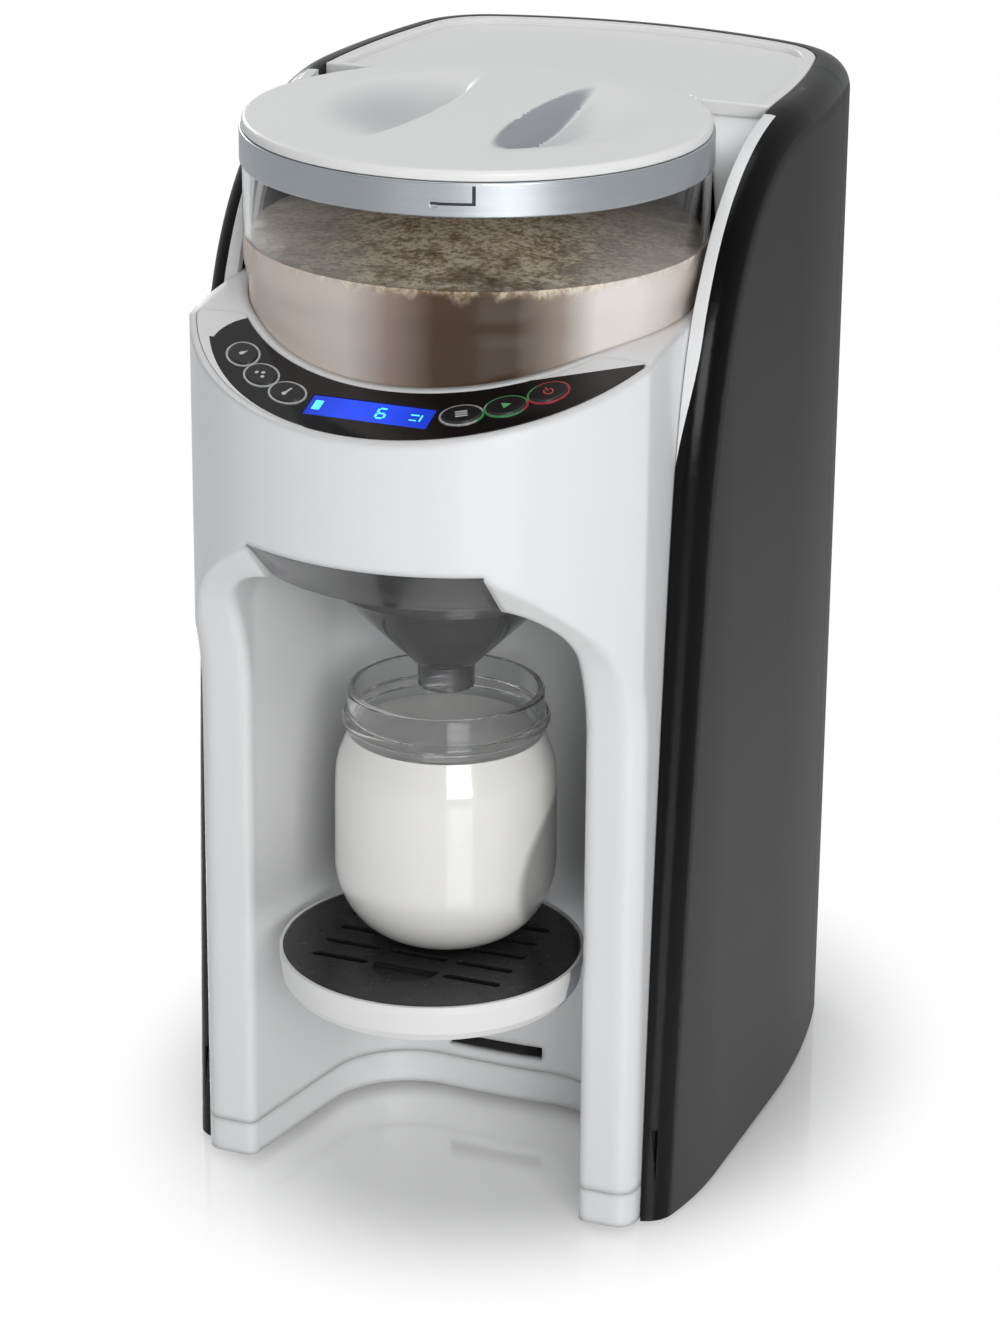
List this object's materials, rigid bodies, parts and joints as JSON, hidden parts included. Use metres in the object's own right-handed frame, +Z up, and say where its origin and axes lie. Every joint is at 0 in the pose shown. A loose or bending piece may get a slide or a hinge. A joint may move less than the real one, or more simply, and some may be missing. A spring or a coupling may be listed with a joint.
{
  "type": "baby formula maker",
  "caption": "Countertop formula maker: powder container over a geared dosing wheel, sliding funnel, bottle bay with drip tray, rear water tank and sloping key panel.",
  "frame": {"origin": "on the table, under the middle of the machine's outer box", "axes": "+Z up, front towards -Y, +X to the right seen from the front"},
  "size_m": [0.208, 0.314, 0.415],
  "materials": {
    "white_gloss": "satin gloss moulding",
    "dark_gloss": "glossy charcoal moulding",
    "rubber_black": "matt",
    "zinc_screw": "zinc plated",
    "lens_black": "high gloss",
    "display_glass": "backlit blue",
    "circuit_green": "solder mask",
    "bezel_chrome": "polished",
    "key_dark": "satin",
    "base_grey": "fine texture",
    "clear_window": "clear copolyester",
    "ring_steel": "turned",
    "acetal_white": "natural acetal",
    "stirrer_grey": "satin",
    "motor_steel": "drawn can",
    "shaft_steel": "ground",
    "powder_beige": "loose powder",
    "gasket_clear": "silicone",
    "smoke_plastic": "translucent smoke",
    "mat_black": "soft mat",
    "bottle_clear": "clear glass",
    "milk_white": "liquid",
    "tank_clear": "clear blue-tinted plastic",
    "spring_steel": "bright wire",
    "chassis_zinc": "zinc sheet",
    "heater_cast": "as cast",
    "pump_black": "moulded",
    "hose_silicone": "translucent silicone"
  },
  "bodies": {
    "machine": {"front_housing": "white_gloss", "base_plinth": "white_gloss", "rubber_feet": "rubber_black", "base_screws": "zinc_screw", "side_panel_right": "dark_gloss", "side_panel_left": "dark_gloss", "rear_cover": "dark_gloss", "cover_screws": "zinc_screw", "panel_lens": "lens_black", "display_module": "display_glass", "control_board": "circuit_green", "button_bezels": "bezel_chrome", "dosing_motor": "motor_steel", "tank_shelf": "base_grey", "tank_dock": "acetal_white", "dock_seal": "gasket_clear", "chassis_plate": "chassis_zinc", "heater_block": "heater_cast", "water_pump": "pump_black", "pump_motor": "motor_steel", "supply_hose": "hose_silicone", "feed_hose": "hose_silicone", "outlet_hose": "hose_silicone", "water_nozzle": "shaft_steel", "main_board": "circuit_green", "cord_gland": "rubber_black"},
    "powder_container": {"container_base": "base_grey", "container_body": "clear_window", "container_ring": "ring_steel", "metering_plate": "acetal_white", "powder_scraper": "stirrer_grey", "formula_powder": "powder_beige"},
    "container_lid": {"lid": "white_gloss", "lid_gasket": "gasket_clear"},
    "dosing_rotor": {"dosing_wheel": "acetal_white", "stirrer": "stirrer_grey"},
    "pinion": {"drive_pinion": "acetal_white", "motor_shaft": "shaft_steel"},
    "funnel": {"funnel_drawer": "smoke_plastic"},
    "drip_tray": {"tray_dish": "white_gloss", "tray_grille": "mat_black"},
    "bottle": {"bottle_glass": "bottle_clear", "milk": "milk_white"},
    "water_tank": {"tank_body": "tank_clear", "valve_cage": "acetal_white", "valve_spring": "spring_steel"},
    "tank_cover": {"tank_lid": "white_gloss"},
    "tank_valve": {"valve_plunger": "acetal_white"},
    "water_volume_button": {"water_volume_button": "key_dark"},
    "powder_setting_button": {"powder_setting_button": "key_dark"},
    "temperature_button": {"temperature_button": "key_dark"},
    "mode_button": {"mode_button": "key_dark"},
    "start_button": {"start_button": "key_dark"},
    "power_button": {"power_button": "key_dark"}
  },
  "joints": [
    {"name": "water_volume_press", "type": "slide", "parent": "machine", "child": "water_volume_button", "axis": [0, 0.3304, -0.9439], "range_m": [0, 0.001], "stiffness_N_per_m": 400, "springref_m": -0.0006},
    {"name": "powder_setting_press", "type": "slide", "parent": "machine", "child": "powder_setting_button", "axis": [0, 0.3304, -0.9439], "range_m": [0, 0.001], "stiffness_N_per_m": 400, "springref_m": -0.0006},
    {"name": "temperature_press", "type": "slide", "parent": "machine", "child": "temperature_button", "axis": [0, 0.3304, -0.9439], "range_m": [0, 0.001], "stiffness_N_per_m": 400, "springref_m": -0.0006},
    {"name": "mode_press", "type": "slide", "parent": "machine", "child": "mode_button", "axis": [0, 0.3304, -0.9439], "range_m": [0, 0.001], "stiffness_N_per_m": 400, "springref_m": -0.0006},
    {"name": "start_press", "type": "slide", "parent": "machine", "child": "start_button", "axis": [0, 0.3304, -0.9439], "range_m": [0, 0.001], "stiffness_N_per_m": 400, "springref_m": -0.0006},
    {"name": "power_press", "type": "slide", "parent": "machine", "child": "power_button", "axis": [0, 0.3304, -0.9439], "range_m": [0, 0.001], "stiffness_N_per_m": 400, "springref_m": -0.0006},
    {"name": "container_lift", "type": "slide", "parent": "machine", "child": "powder_container", "axis": [0, 0, 1], "range_m": [0, 0.12]},
    {"name": "lid_lift", "type": "slide", "parent": "powder_container", "child": "container_lid", "axis": [0, 0, 1], "range_m": [0, 0.06]},
    {"name": "dosing_spin", "type": "hinge", "parent": "powder_container", "child": "dosing_rotor", "pos_m": [0, -0.04, 0.288], "axis": [0, 0, 1], "continuous": true},
    {"name": "pinion_spin", "type": "hinge", "parent": "machine", "child": "pinion", "pos_m": [0, 0.028, 0.288], "axis": [0, 0, 1], "continuous": true},
    {"name": "funnel_slide", "type": "slide", "parent": "machine", "child": "funnel", "axis": [0, -1, 0], "range_m": [0, 0.09]},
    {"name": "tray_slide", "type": "slide", "parent": "machine", "child": "drip_tray", "axis": [0, -1, 0], "range_m": [0, 0.06]},
    {"name": "bottle_slide", "type": "slide", "parent": "drip_tray", "child": "bottle", "axis": [0, -1, 0], "range_m": [0, 0.1]},
    {"name": "tank_lift", "type": "slide", "parent": "machine", "child": "water_tank", "axis": [0, 0, 1], "range_m": [0, 0.1]},
    {"name": "tank_cover_lift", "type": "slide", "parent": "water_tank", "child": "tank_cover", "axis": [0, 0, 1], "range_m": [0, 0.04]},
    {"name": "valve_open", "type": "slide", "parent": "water_tank", "child": "tank_valve", "axis": [0, 0, 1], "range_m": [0, 0.002], "stiffness_N_per_m": 300, "springref_m": -0.001, "deforming": ["valve_spring"]}
  ],
  "couplings": [
    {"joint": "pinion_spin", "follows": "dosing_spin", "ratio": -4.6667}
  ]
}
